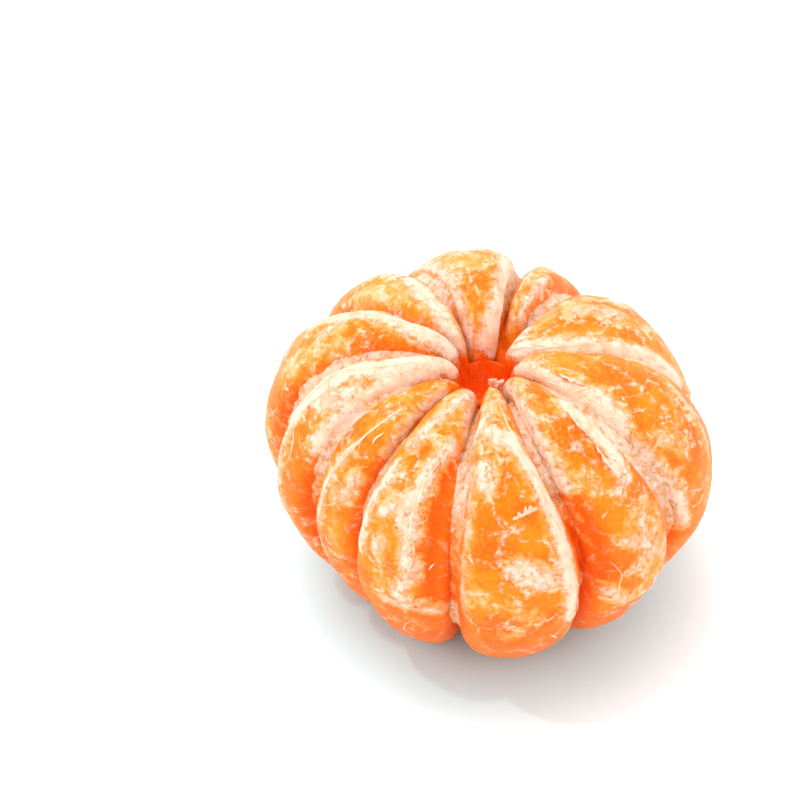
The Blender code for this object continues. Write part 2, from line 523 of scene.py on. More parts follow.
    def rings(self) -> tuple[np.ndarray, np.ndarray]:
        """List the rings from wall to wall.

        Returns:
            Each ring's place across and its scale.
        """
        end = 1 - DETAIL.edge_room
        back = np.linspace(-end, end, DETAIL.back_rings)
        turn_in = 1 - DETAIL.edge_room * np.array(DETAIL.edge_steps)
        walls = np.array(DETAIL.wall_sizes)
        count = len(walls)
        across = np.concatenate([-np.ones(count), -turn_in[::-1], back, turn_in, np.ones(count)])
        size = self.back_size(across)
        size[:count] = walls
        size[-count:] = walls[::-1]
        return across, size

    def turns(self) -> np.ndarray:
        """List the points of a ring, closest together where the back is in the open.

        Returns:
            Their angles around the section, in radians.
        """
        first, last = DETAIL.open_turns
        open_side = np.linspace(first, last, DETAIL.open_points, endpoint=False)
        hidden = np.linspace(last, first + 360.0, DETAIL.hidden_points, endpoint=False)
        return np.radians(np.concatenate([open_side, hidden]))

    def build_skin(self) -> bpy.types.Object:
        """Build the fine skin and store what covers it as attributes.

        Returns:
            The new object.
        """
        across, size = self.rings()
        turns = self.turns()
        turn_grid, across_grid = np.meshgrid(turns, across)
        size_grid = np.repeat(size[:, None], len(turns), axis=1)
        turn, share, scale = turn_grid.ravel(), across_grid.ravel(), size_grid.ravel()
        flat = self.point(turn, share, scale)
        cover = self.coverage(flat, turn, share)
        normal = self.skin_frame(turn, np.clip(share, -0.985, 0.985))[1]
        points = flat + normal * cover["relief"][:, None]
        points[:, 2] = np.where(flat[:, 2] <= 0, 0.0, np.maximum(points[:, 2], 0.0))
        tips = self.point(np.zeros(2), np.array([-1.0, 1.0]), 0.0)
        faces = closed_rings(len(across), len(turns))
        skin = new_mesh(f"{self.name}_skin", np.concatenate([points, tips]), faces)
        store_vector(skin, "flow", with_tips(self.flow(share, turns)))
        for name in ("pith", "film", "painted_shade"):
            store_value(skin, name, with_tips(cover[name]))
        return skin

    def flow(self, share: np.ndarray, turns: np.ndarray) -> np.ndarray:
        """Return where each point lies on the unrolled back, in millimetres.

        Args:
            share: Places between the walls of all points, ring by ring.
            turns: Angles of one ring's points, in radians.

        Returns:
            Rows of the distance across, the distance along, and the segment's own shift.
        """
        middle = self.point(turns, np.zeros(len(turns)))
        steps = np.linalg.norm(np.diff(middle, axis=0), axis=1)
        along = np.concatenate([[0.0], np.cumsum(steps)])
        open_turn, shift = 0.3, 0.031
        beside = share * self.metric(open_turn)[1] / 2
        rings = len(share) // len(turns)
        own = np.full(len(share), shift * self.number)
        return np.stack([beside, np.tile(along, rings), own], axis=1) / MM


def with_tips(values: np.ndarray) -> np.ndarray:
    """Add the values of the two tips, which repeat the first and the last point's."""
    return np.concatenate([values, values[[0, -1]]])


def closed_rings(ring_count: int, point_count: int) -> list[tuple[int, ...]]:
    """List the faces of a row of closed rings with a fan at each end.

    Args:
        ring_count: Number of rings.
        point_count: Number of points on each ring.

    Returns:
        Faces as tuples of point numbers; the two tips come after the rings.
    """
    grid = np.arange(ring_count * point_count).reshape(ring_count, point_count)
    near, far = grid[:-1], grid[1:]
    near_next, far_next = np.roll(near, -1, axis=1), np.roll(far, -1, axis=1)
    quads = np.stack([near, far, far_next, near_next], axis=-1).reshape(-1, 4)
    faces = [tuple(quad) for quad in quads.tolist()]
    first_tip = ring_count * point_count
    for step in range(point_count):
        after = (step + 1) % point_count
        faces.append((int(grid[0, step]), int(grid[0, after]), first_tip))
        faces.append((int(grid[-1, after]), int(grid[-1, step]), first_tip + 1))
    return faces


def new_mesh(name: str, verts: np.ndarray, faces: list[tuple[int, ...]]) -> bpy.types.Object:
    """Make a smooth-shaded object and turn its faces outward.

    Args:
        name: Name of the object.
        verts: Points, one in each row.
        faces: Faces as tuples of point numbers.

    Returns:
        The new object.
    """
    mesh = bpy.data.meshes.new(name)
    mesh.from_pydata(verts.tolist(), [], faces)
    mesh.update()
    mesh.shade_smooth()
    thing = bpy.data.objects.new(name, mesh)
    bpy.context.collection.objects.link(thing)
    if signed_volume(mesh) < 0:
        mesh.flip_normals()
    return thing


def signed_volume(mesh: bpy.types.Mesh) -> float:
    """Measure a closed mesh.

    Args:
        mesh: The mesh.

    Returns:
        Its volume, which is negative if its faces look inward.
    """
    mesh.calc_loop_triangles()
    corners = np.zeros(len(mesh.loop_triangles) * 3, dtype=np.int32)
    mesh.loop_triangles.foreach_get("vertices", corners)
    places = np.zeros(len(mesh.vertices) * 3)
    mesh.vertices.foreach_get("co", places)
    a, b, c = places.reshape(-1, 3)[corners.reshape(-1, 3)].transpose(1, 0, 2)
    return float(np.einsum("ij,ij->i", a, np.cross(b, c)).sum() / 6)


def store_value(thing: bpy.types.Object, name: str, values: np.ndarray) -> None:
    """Store one number for each point of a mesh."""
    layer = thing.data.attributes.new(name, "FLOAT", "POINT")
    layer.data.foreach_set("value", values.astype(np.float32))


def store_vector(thing: bpy.types.Object, name: str, values: np.ndarray) -> None:
    """Store one vector for each point of a mesh."""
    layer = thing.data.attributes.new(name, "FLOAT_VECTOR", "POINT")
    layer.data.foreach_set("vector", values.astype(np.float32).ravel())


def store_own_flow(thing: bpy.types.Object, verts: np.ndarray) -> None:
    """Store each point's own place, in millimetres with the height second, as its flow."""
    store_vector(thing, "flow", verts[:, [0, 2, 1]] / MM)


class NodeDesk:
    """Adds and joins the nodes of one material."""

    def __init__(self, name: str) -> None:
        """Start a material.

        Args:
            name: Name of the material.
        """
        self.material = bpy.data.materials.new(name)
        self.material.use_nodes = True
        self.nodes = self.material.node_tree.nodes
        self.links = self.material.node_tree.links
        self.shader = self.nodes["Principled BSDF"]

    def add(self, kind: str, **settings: object) -> bpy.types.Node:
        """Add a node.

        Args:
            kind: Its Blender type.
            settings: Properties to set on it.

        Returns:
            The new node.
        """
        node = self.nodes.new(kind)
        for key, value in settings.items():
            setattr(node, key, value)
        return node

    def feed(self, socket: bpy.types.NodeSocket, value: object) -> None:
        """Give a socket its value.

        Args:
            socket: The socket.
            value: Another node's output to link, or a constant.
        """
        if isinstance(value, bpy.types.NodeSocket):
            self.links.new(value, socket)
        elif isinstance(value, tuple) and len(value) == 3 and socket.type == "RGBA":
            socket.default_value = (*value, 1.0)
        else:
            socket.default_value = value

    def feed_all(self, node: bpy.types.Node, **values: object) -> None:
        """Feed sockets of a node that are named with underscores for spaces."""
        for key, value in values.items():
            self.feed(node.inputs[key.replace("_", " ")], value)

    def attribute(self, name: str, vector: bool = False) -> bpy.types.NodeSocket:
        """Read a stored number or vector."""
        node = self.add("ShaderNodeAttribute", attribute_name=name)
        return node.outputs["Vector" if vector else "Fac"]

    def place(self) -> bpy.types.NodeSocket:
        """Return the place on the object in millimetres."""
        return self.stretch(self.add("ShaderNodeTexCoord").outputs["Object"], (1e3, 1e3, 1e3))

    def noise(self, place: bpy.types.NodeSocket, scale: float, detail: float = 2.0,
              distortion: float = 0.0, roughness: float = 0.5) -> bpy.types.NodeSocket:
        """Add a noise texture.

        Args:
            place: Where it is read, in millimetres.
            scale: Lumps for each millimetre.
            detail: Number of finer layers.
            distortion: How far the noise pushes itself about.
            roughness: How strong the finer layers are.

        Returns:
            The noise, about 0 to 1.
        """
        node = self.add("ShaderNodeTexNoise")
        self.feed_all(node, Vector=place, Scale=scale, Detail=detail, Distortion=distortion,
                      Roughness=roughness)
        return node.outputs["Fac"]

    def cells(self, place: bpy.types.NodeSocket, scale: float) -> bpy.types.NodeSocket:
        """Add rounded cells.

        Args:
            place: Where they are read, in millimetres.
            scale: Cells for each millimetre.

        Returns:
            The distance to the nearest cell's middle.
        """
        node = self.add("ShaderNodeTexVoronoi", feature="SMOOTH_F1")
        self.feed_all(node, Vector=place, Scale=scale, Smoothness=0.6)
        return node.outputs["Distance"]

    def net(self, place: bpy.types.NodeSocket, scale: float) -> bpy.types.NodeSocket:
        """Add a net of threads.

        Args:
            place: Where it is read, in millimetres.
            scale: Meshes for each millimetre.

        Returns:
            The distance to the nearest thread.
        """
        node = self.add("ShaderNodeTexVoronoi", feature="DISTANCE_TO_EDGE")
        self.feed_all(node, Vector=place, Scale=scale)
        return node.outputs["Distance"]

    def warp(self, place: bpy.types.NodeSocket, scale: float,
             push: float) -> bpy.types.NodeSocket:
        """Push a place about by noise.

        Args:
            place: The place in millimetres.
            scale: Lumps of noise for each millimetre.
            push: Greatest push in millimetres.

        Returns:
            The pushed place.
        """
        noise = self.add("ShaderNodeTexNoise")
        self.feed_all(noise, Vector=place, Scale=scale, Detail=3.0)
        node = self.add("ShaderNodeVectorMath", operation="MULTIPLY_ADD")
        for socket, value in zip(node.inputs, (noise.outputs["Color"], (push, push, push), place)):
            self.feed(socket, value)
        return node.outputs["Vector"]

    def stretch(self, place: bpy.types.NodeSocket,
                factors: tuple[float, float, float]) -> bpy.types.NodeSocket:
        """Scale a place before a texture reads it.

        Args:
            place: The place.
            factors: Factors for its three numbers.

        Returns:
            The scaled place.
        """
        node = self.add("ShaderNodeVectorMath", operation="MULTIPLY")
        self.feed(node.inputs[0], place)
        self.feed(node.inputs[1], factors)
        return node.outputs["Vector"]

    def maths(self, operation: str, first: object, second: object) -> bpy.types.NodeSocket:
        """Combine two values.

        Args:
            operation: Name of the sum to do.
            first: First value or socket.
            second: Second value or socket.

        Returns:
            The result.
        """
        node = self.add("ShaderNodeMath", operation=operation)
        self.feed(node.inputs[0], first)
        self.feed(node.inputs[1], second)
        return node.outputs[0]

    def total(self, first: bpy.types.NodeSocket,
              *others: tuple[bpy.types.NodeSocket, float]) -> bpy.types.NodeSocket:
        """Add other values, each times its weight, to a first one.

        Args:
            first: The first value.
            others: Pairs of a value and its weight.

        Returns:
            The sum.
        """
        for value, weight in others:
            first = self.maths("ADD", first, self.maths("MULTIPLY", value, weight))
        return first

    def ease(self, value: bpy.types.NodeSocket, low: float, high: float,
             to_low: float = 0.0, to_high: float = 1.0) -> bpy.types.NodeSocket:
        """Ease a value from one range to another.

        Args:
            value: The value.
            low: Where the result starts to change; it may be above high.
            high: Where it stops changing.
            to_low: The result at low.
            to_high: The result at high.

        Returns:
            The eased value.
        """
        node = self.add("ShaderNodeMapRange", interpolation_type="SMOOTHSTEP")
        self.feed_all(node, Value=value, From_Min=low, From_Max=high, To_Min=to_low,
                      To_Max=to_high)
        return node.outputs["Result"]

    def blend(self, share: object, first: object, second: object) -> bpy.types.NodeSocket:
        """Mix two colours.

        Args:
            share: How much of the second colour there is, from 0 to 1.
            first: First colour.
            second: Second colour.

        Returns:
            The mixed colour.
        """
        node = self.add("ShaderNodeMix", data_type="RGBA")
        factor_socket, first_socket, second_socket = node.inputs[0], *node.inputs[6:8]
        self.feed(factor_socket, share)
        self.feed(first_socket, first)
        self.feed(second_socket, second)
        colour_output = 2
        return node.outputs[colour_output]

    def bump(self, height: bpy.types.NodeSocket, depth: float,
             strength: float) -> bpy.types.NodeSocket:
        """Turn a height into a bumped normal.

        Args:
            height: The height, about 0 to 1.
            depth: What a height of 1 stands for, in metres.
            strength: How much of the bump shows, from 0 to 1.

        Returns:
            The normal.
        """
        node = self.add("ShaderNodeBump")
        self.feed_all(node, Height=height, Distance=depth, Strength=strength)
        return node.outputs["Normal"]

    def finish(self, **sockets: object) -> bpy.types.Material:
        """Feed the shader's sockets, named with underscores, and return the material."""
        self.feed_all(self.shader, **sockets)
        return self.material


@dataclass(frozen=True)
class FleshFinish:
    """Juicy flesh seen through a moist skin, with film and pith lying on it."""

    golden: Colour = (1.0, 0.270, 0.004)
    orange: Colour = (1.0, 0.178, 0.002)
    deep: Colour = (1.0, 0.122, 0.001)
    # Colour of the painted shade in the hollows and on the lower parts.
    shade_colour: Colour = (1.0, 0.108, 0.001)
    film: Colour = (1.0, 0.39, 0.085)
    milk: Colour = (1.0, 0.56, 0.28)
    pith: Colour = (1.0, 0.73, 0.58)
    pink: Colour = (1.0, 0.55, 0.33)
    thin_film: tuple[float, float] = (2.10, 2.62)
    thick_film: tuple[float, float] = (2.42, 3.00)
    full_pith: tuple[float, float] = (1.98, 2.36)
    meshes: float = 0.32

    def material(self) -> bpy.types.Material:
        """Make the material.

        Returns:
            The new material.
        """
        desk = NodeDesk("segment_flesh")
        place = desk.place()
        flow = desk.attribute("flow", vector=True)
        long_flow = desk.stretch(flow, (1.0, 0.45, 1.0))

        # Noises that several layers share.
        grain = desk.noise(place, 2.0, 5.0, 0.2, 0.75)
        sacs = desk.cells(long_flow, 0.55)
        cloud = desk.noise(place, 0.7, 8.0, 0.6, 0.74)
        crinkle = desk.noise(long_flow, 1.5, 5.0, 1.2, 0.7)
        ragged = desk.noise(place, 1.2, 8.0, 0.6, 0.76)
        # Fewer thread halos, veins and specks where the painted shade lies.
        outside = desk.maths("SUBTRACT", 1.0, desk.attribute("painted_shade"))
        outside = desk.maths("MULTIPLY", outside, 0.7)

        # A net of pith threads with film round them, and fine specks.
        threads = desk.net(desk.warp(desk.stretch(flow, (1.0, 0.6, 1.0)), 0.5, 3.0), self.meshes)
        shown = desk.maths("MULTIPLY", desk.ease(cloud, 0.44, 0.56), desk.ease(crinkle, 0.36, 0.50))
        shown = desk.maths("MULTIPLY", shown, outside)
        halo = desk.maths("MULTIPLY", desk.ease(threads, 0.26, 0.0, 0.0, 0.42), shown)
        film = desk.total(desk.attribute("film"), (cloud, 2.4), (crinkle, 1.0), (halo, 1.0))
        fibre = desk.noise(desk.stretch(flow, (1.0, 0.2, 1.0)), 2.6, 3.0, 0.4)
        cover = desk.total(desk.attribute("pith"), (ragged, 2.5), (fibre, 0.7))
        cover = desk.ease(cover, *self.full_pith, 0.0, 0.96)
        specks = desk.ease(desk.cells(place, 1.35), 0.20, 0.08)
        specks = desk.maths("MULTIPLY", specks, desk.ease(ragged, 0.50, 0.58))
        cover = desk.maths("MAXIMUM", cover, desk.maths("MULTIPLY", specks, outside))
        veins = desk.maths("MULTIPLY", desk.ease(threads, 0.075, 0.005), shown)
        cover = desk.maths("MAXIMUM", cover, veins)

        # Flesh, thin film, thick film and pith, one over another.
        colour = self.flesh_colour(desk, place, grain, sacs)
        colour = desk.blend(desk.ease(film, *self.thin_film, 0.0, 0.78), colour, self.film)
        colour = desk.blend(desk.ease(film, *self.thick_film, 0.0, 0.85), colour, self.milk)
        pith = desk.blend(desk.ease(cloud, 0.36, 0.56), self.pink, self.pith)
        colour = desk.blend(cover, colour, pith)
        height = desk.total(desk.maths("MULTIPLY", sacs, -0.3), (grain, 0.5), (ragged, 0.8),
                            (crinkle, 0.5), (cover, 0.35))
        return desk.finish(
            Base_Color=colour, Roughness=desk.ease(cover, 0.0, 1.0, 0.34, 0.62),
            Normal=desk.bump(height, 0.55 * MM, 0.8), Subsurface_Weight=0.4,
            Subsurface_Radius=(1.0, 0.3, 0.12), Subsurface_Scale=0.7 * MM, IOR=1.34,
            Specular_IOR_Level=0.2,
        )

    def flesh_colour(self, desk: NodeDesk, place: bpy.types.NodeSocket,
                     grain: bpy.types.NodeSocket,
                     sacs: bpy.types.NodeSocket) -> bpy.types.NodeSocket:
        """Mottle the bare flesh in large patches, then in juice sacs, and paint shade into the
        depths as a deeper red.

        Args:
            desk: The material's nodes.
            place: The place on the object in millimetres.
            grain: Fine noise, which is also the bump's height, so the colours painted from it are
                partly speckle and partly painted shade and light on the fine bumps.
            sacs: The distance to the nearest juice sac's middle.

        Returns:
            The colour.
        """
        tone = desk.noise(place, 0.14, 4.0, 0.4, 0.6)
        colour = desk.blend(desk.ease(tone, 0.44, 0.62), self.orange, self.golden)
        colour = desk.blend(desk.ease(tone, 0.46, 0.30, 0.0, 0.7), colour, self.deep)
        # Partly speckle in the flesh and partly painted shade and light: the grain's hollows, which
        # the bump sinks, are painted deeper and its high points paler.
        colour = desk.blend(desk.ease(grain, 0.50, 0.66, 0.0, 0.75), colour, self.golden)
        colour = desk.blend(desk.ease(grain, 0.48, 0.34, 0.0, 0.6), colour, self.deep)
        colour = desk.blend(desk.ease(sacs, 0.5, 0.95, 0.0, 0.3), colour, self.golden)
        colour = desk.blend(desk.ease(grain, 0.52, 0.68, 0.0, 0.36), colour, self.film)
        # Painted shade: a deeper red wherever the stored shade lies.
        return desk.blend(desk.attribute("painted_shade"), colour, self.shade_colour)


@dataclass(frozen=True)
class PithFinish:
    """Soft, dry, fibrous pith."""

    white: Colour = (1.0, 0.70, 0.54)
    pink: Colour = (1.0, 0.53, 0.32)

    def material(self) -> bpy.types.Material:
        """Make the material.

        Returns:
            The new material.
        """
        desk = NodeDesk("pith")
        flow = desk.attribute("flow", vector=True)
        strands = desk.noise(desk.stretch(flow, (1.0, 0.2, 1.0)), 3.2, 4.0)
        patch = desk.noise(flow, 0.5, 3.0)
        colour = desk.blend(desk.ease(patch, 0.38, 0.60), self.pink, self.white)
        colour = desk.blend(desk.ease(strands, 0.5, 0.3, 0.0, 0.4), colour, self.pink)
        return desk.finish(
            Base_Color=colour, Roughness=desk.ease(strands, 0.3, 0.7, 0.75, 0.55),
            Normal=desk.bump(strands, 0.2 * MM, 0.6), IOR=1.35, Specular_IOR_Level=0.3,
        )


def film_patch(width: float, strength: float, *path: Place) -> Band:
    """Return a patch of thin pale film along a path."""
    return Band(path, width, strength, film=True)


def pith_line(width: float, strength: float, *path: Place, crest: float = 0.22) -> Band:
    """Return a line or patch of white pith along a path."""
    return Band(path, width, strength, crest=crest)


def make_segments() -> list[Segment]:
    """Lay out the segments with the pith on each.

    Returns:
        The segments, counter-clockwise from above, starting at the front.
    """
    return [
        Segment(1, (-7, -8), (15, 29), 31.0 * MM, 42.0 * MM, (
            pith_line(1.1, 0.75, (84, -0.4), (75, -0.75), (60, -0.84), (33, -0.88), (3, -0.88)),
            pith_line(1.9, 0.95, (75, -0.1), (72, 0.4), (63, 0.65), (54, 0.75), (36, 0.70),
                      (18, 0.65), (-9, 0.65), crest=0.45),
            pith_line(2.2, 0.7, (61, -0.45), (54, -0.45)),
            pith_line(2.6, 0.75, (21, -0.05), (15, 0.25), (15, 0.4)),
            film_patch(4.0, 0.9, (110, 0.0), (84, 0.0)),
            film_patch(3.2, 0.8, (9, -0.65), (3, -0.2), (-3, 0.15), (-15, -0.2)),
        ), veil=0.06,
           spine=((100, 0.2), (72, 0.5), (54, 0.72), (30, 0.68), (-20, 0.66)),
           groove=((130, 0.90, 0.6), (100, 0.84, 0.9), (75, 0.84, 0.95), (58, 0.86, 0.9),
                   (45, 0.90, 0.6), (30, 0.93, 0.15), (8, 0.95, 0.0), (-10, 0.94, 0.2),
                   (-40, 0.92, 0.3), (-76, 0.94, 0.2))),
        Segment(2, (15, 29), (46, 60), 30.5 * MM, 42.0 * MM, (
            pith_line(2.4, 0.95, (81, 0.55), (72, 0.65), (63, 0.6), (54, 0.55), (47, 0.38)),
            pith_line(2.6, 0.8, (132, -0.75), (93, -0.86), (75, -0.83), (63, -0.83), (50, -0.86)),
            pith_line(0.7, 0.8, (12, 0.05), (20, -0.3)),
            pith_line(0.7, 0.8, (12, 0.05), (2, 0.45)),
            pith_line(0.8, 0.8, (12, 0.05), (24, 0.15)),
            pith_line(0.7, 0.7, (12, 0.05), (5, -0.25)),
            pith_line(0.6, 0.7, (12, 0.05), (20, 0.55)),
            film_patch(7.0, 0.85, (24, 0.25), (8, 0.2)),
            pith_line(1.3, 0.9, (39, 0.05), (42, 0.4)),
            pith_line(1.0, 0.8, (-3, -0.85), (-6, -0.6), (-12, -0.45)),
            pith_line(1.0, 0.7, (-15, -0.35), (-15, 0.15), (-6, 0.35)),
            film_patch(2.6, 0.8, (57, -0.8), (51, -0.4), (42, -0.25)),
        ), dents=(Dent(((40, -0.8), (20, -0.75), (5, -0.8)), 4.0, 0.35),), squareness=2.8, veil=0.2,
           spine=((118, -0.7), (93, -0.8), (63, -0.8), (30, -0.82)),
           groove=((135, 0.88, 0.8), (100, 0.80, 1.0), (60, 0.80, 1.0), (30, 0.84, 0.9),
                   (0, 0.88, 0.6), (-40, 0.92, 0.4), (-76, 0.94, 0.2))),
        Segment(3, (46, 60), (95, 97), 31.0 * MM, 41.5 * MM, (
            pith_line(1.9, 1.0, (141, -0.25), (129, -0.6), (99, -0.75), (87, -0.8), crest=0.35),
            pith_line(2.8, 1.0, (87, -0.8), (75, -0.85), (60, -0.88), crest=0.4),
            pith_line(3.8, 0.95, (76, -0.7), (64, -0.8)),
            pith_line(1.5, 1.0, (60, -0.88), (45, -0.88), (30, -0.88), (18, -0.85), (3, -0.8)),
            pith_line(0.9, 0.65, (52, 0.35), (42, 0.28), (33, 0.2), (22, 0.05)),
            pith_line(0.7, 0.6, (48, -0.55), (33, -0.3)),
            film_patch(2.0, 0.7, (123, -0.15), (102, -0.15), (87, 0.15)),
            film_patch(3.0, 0.6, (20, -0.3), (0, -0.2)),
        ), squareness=4.0, veil=0.26,
           spine=((125, -0.6), (99, -0.74), (75, -0.82), (45, -0.86), (0, -0.8)),
           groove=((140, 0.88, 0.8), (110, 0.80, 1.0), (60, 0.80, 1.0), (30, 0.84, 0.9),
                   (0, 0.88, 0.6), (-40, 0.92, 0.4), (-76, 0.94, 0.2))),
        Segment(4, (95, 97), (153, 147), 30.0 * MM, 39.0 * MM, (
            pith_line(0.8, 0.8, (62, 0.25), (30, 0.35), (0, 0.3), (-35, 0.1)),
            pith_line(0.7, 0.7, (20, -0.75), (5, -0.3), (-10, -0.25)),
            pith_line(1.6, 0.85, (102, 0.6), (120, 0.55), (132, 0.5), (144, 0.3)),
            pith_line(2.1, 1.0, (138, 0.4), (126, -0.05), (111, -0.4), (93, -0.65), (78, -0.75),
                      (60, -0.8), (33, -0.8), crest=0.4),
            pith_line(2.0, 0.6, (84, 0.2), (66, -0.15)),
            film_patch(3.2, 0.9, (96, 0.55), (84, 0.55), (69, 0.45)),
            film_patch(3.0, 0.7, (50, -0.2), (20, -0.1)),
        ), squareness=4.8, veil=0.26,
           spine=((130, 0.1), (111, -0.4), (93, -0.65), (60, -0.78), (20, -0.8)),
           groove=((140, 0.90, 0.3), (95, 0.84, 0.9), (60, 0.84, 0.9), (20, 0.88, 0.6),
                   (-40, 0.92, 0.4), (-76, 0.94, 0.2))),
        Segment(5, (153, 147), (168, 170), 29.5 * MM, 39.5 * MM, (
            pith_line(1.0, 0.7, (55, 0.3), (20, 0.2), (-15, 0.35), (-40, 0.1)),
            film_patch(3.0, 0.9, (60, 0.0), (90, 0.0), (120, 0.0)),
            pith_line(0.9, 0.8, (70, -0.5), (95, -0.5), (115, -0.4)),
        ), inner=6.0 * MM,
           spine=((100, 0.3), (60, 0.3), (-15, 0.3)),
           groove=((140, 0.86, 0.0), (116, 0.84, 0.2), (98, 0.80, 0.7), (60, 0.80, 0.95),
                   (20, 0.9, 0.6), (-40, 0.92, 0.4), (-76, 0.94, 0.2))),
        Segment(6, (168, 170), (205, 218), 29.0 * MM, 42.5 * MM, (
            pith_line(1.2, 0.9, (66, -0.3), (40, -0.4), (10, -0.25), (-25, -0.3)),
            pith_line(0.8, 0.8, (20, -0.3), (0, 0.2), (-20, 0.4)),
            pith_line(0.8, 0.8, (70, 0.2), (45, 0.4), (20, 0.35)),
            pith_line(3.0, 1.0, (40, -0.85), (60, -0.85), (80, -0.82), (110, -0.85), (140, -0.7)),
            pith_line(1.8, 0.85, (50, 0.75), (78, 0.85), (110, 0.88), (132, 0.9)),
            film_patch(5.0, 0.85, (72, 0.7), (81, 0.2), (81, -0.5)),
            film_patch(2.5, 0.6, (114, 0.6), (129, 0.65)),
        ), veil=0.38,
           spine=((125, -0.78), (80, -0.8), (30, -0.8), (-20, -0.75)),
           groove=((140, 0.88, 0.1), (118, 0.87, 0.2), (98, 0.84, 0.8), (60, 0.82, 0.95),
                   (20, 0.9, 0.6), (-40, 0.92, 0.4), (-76, 0.94, 0.2))),
        Segment(7, (205, 218), (243, 236), 30.5 * MM, 41.0 * MM, (
            pith_line(1.0, 0.85, (70, -0.2), (40, -0.35), (5, -0.2), (-30, -0.1)),
            pith_line(0.7, 0.7, (40, -0.3), (20, 0.3), (5, 0.5)),
            pith_line(2.0, 0.85, (78, -0.25), (95, 0.0), (114, 0.35), (130, 0.5)),
            film_patch(4.5, 0.95, (60, 0.6), (78, 0.35), (90, 0.2)),
        ), squareness=3.0, veil=0.42,
           spine=((112, 0.3), (80, -0.2), (40, -0.3), (-24, -0.3)),
           groove=((140, 0.90, 0.3), (115, 0.84, 0.8), (90, 0.80, 1.0), (60, 0.80, 1.0),
                   (20, 0.86, 0.8), (-40, 0.92, 0.4), (-76, 0.94, 0.2))),
        Segment(8, (243, 236), (271, 272), 31.0 * MM, 41.0 * MM, (
            pith_line(1.0, 0.8, (50, -0.3), (30, -0.35), (5, -0.2), (-30, -0.2)),
            pith_line(0.8, 0.7, (10, -0.2), (-5, 0.35), (-20, 0.5)),
            pith_line(2.1, 0.95, (50, -0.3), (63, -0.3), (80, -0.3), (96, -0.1), (112, 0.15),
                      (129, 0.1), crest=0.4),
            film_patch(3.8, 0.9, (38, 0.5), (54, 0.55), (66, 0.6)),
            pith_line(1.8, 0.6, (60, 0.2), (68, -0.1)),
            film_patch(3.0, 0.6, (20, 0.2), (0, 0.1)),
        ), squareness=3.6, veil=0.42,
           spine=((120, 0.15), (96, -0.1), (63, -0.3), (20, -0.4), (-30, -0.4)),
           groove=((140, 0.86, 0.6), (120, 0.80, 1.0), (80, 0.78, 1.0), (50, 0.80, 1.0),
                   (20, 0.84, 0.8), (-10, 0.88, 0.5), (-40, 0.92, 0.3), (-76, 0.94, 0.2))),
        Segment(9, (271, 272), (298, 296), 28.5 * MM, 40.0 * MM, (
            pith_line(0.9, 0.75, (30, -0.1), (5, 0.1), (-25, 0.0)),
            pith_line(2.2, 1.0, (128, 0.0), (112, 0.2), (96, 0.3), (84, 0.2), (69, -0.15),
                      (60, -0.2), (45, -0.25), (34, -0.15), crest=0.35),
            pith_line(2.2, 1.0, (106, 0.78), (90, 0.86), (75, 0.9), (57, 0.9), (36, 0.9), crest=0.4),
            pith_line(2.4, 0.8, (51, 0.3), (60, 0.5), (70, 0.65)),
            film_patch(2.6, 0.8, (138, 0.1), (126, 0.6), (111, 0.65)),
            film_patch(3.0, 0.6, (30, 0.3), (10, 0.3)),
        ), squareness=3.6, veil=0.4,
           spine=((106, 0.3), (84, 0.2), (62, -0.2), (40, -0.2), (-10, -0.1)),
           groove=((135, 0.90, 0.3), (110, 0.85, 0.6), (90, 0.80, 0.9), (60, 0.80, 1.0),
                   (40, 0.82, 0.95), (20, 0.86, 0.7), (-5, 0.90, 0.4), (-40, 0.92, 0.2),
                   (-76, 0.94, 0.2))),
        Segment(10, (298, 296), (326, 319), 26.5 * MM, 39.5 * MM, (
            pith_line(0.9, 0.85, (45, -0.1), (24, -0.28), (4, -0.3)),
            pith_line(1.4, 0.6, (36, 0.5), (27, 0.45), (21, 0.15)),
            pith_line(1.2, 0.75, (104, 0.8), (84, 0.86), (58, 0.86)),
            film_patch(3.0, 0.7, (60, 0.2), (85, 0.2)),
            film_patch(3.0, 0.7, (10, 0.3), (-10, 0.3)),
        ), squareness=3.2, veil=0.3,
           spine=((88, 0.4), (60, 0.1), (30, -0.2), (0, -0.3), (-20, -0.3)),
           groove=((135, 0.88, 0.1), (110, 0.87, 0.2), (85, 0.87, 0.4), (65, 0.86, 0.6),
                   (50, 0.85, 0.8), (35, 0.85, 0.8), (20, 0.88, 0.6), (-40, 0.92, 0.2),
                   (-76, 0.94, 0.2))),
        Segment(11, (326, 319), (353, 352), 28.5 * MM, 41.0 * MM, (
            pith_line(1.1, 1.0, (54, -0.6), (42, -0.7), (33, -0.74), (24, -0.7), (12, -0.7)),
            pith_line(1.3, 0.75, (108, 0.5), (87, 0.05), (75, -0.25), (64, -0.5)),
            pith_line(2.2, 0.7, (112, 0.7), (100, 0.85), (81, 0.88)),
            pith_line(1.8, 0.8, (68, 0.5), (57, 0.25), (48, 0.18), (39, 0.05), (33, 0.1),
                      (21, 0.22), (9, 0.3), (0, 0.15), crest=0.5),
            pith_line(1.2, 0.7, (-9, -0.1), (-9, 0.4), (-14, 0.85)),
            pith_line(1.4, 0.8, (36, -0.3), (33, -0.4)),
            pith_line(1.2, 0.7, (47, -0.5), (43, -0.6)),
            pith_line(0.9, 0.7, (22, -0.3), (15, -0.38)),
            film_patch(4.0, 0.7, (20, -0.3), (-5, -0.2)),
        ), dents=(Dent(((60, 0.62), (40, 0.6), (20, 0.62), (0, 0.66)), 3.6, 0.55),), veil=0.2,
           spine=((66, 0.45), (48, 0.18), (30, 0.12), (9, 0.3), (-10, 0.15)),
           groove=((130, 0.88, 0.4), (100, 0.86, 0.6), (80, 0.85, 0.7), (65, 0.84, 0.8),
                   (50, 0.85, 0.85), (35, 0.86, 0.6), (15, 0.88, 0.3), (-5, 0.90, 0.2),
                   (-22, 0.87, 0.8), (-45, 0.92, 0.4), (-76, 0.94, 0.2))),
    ]


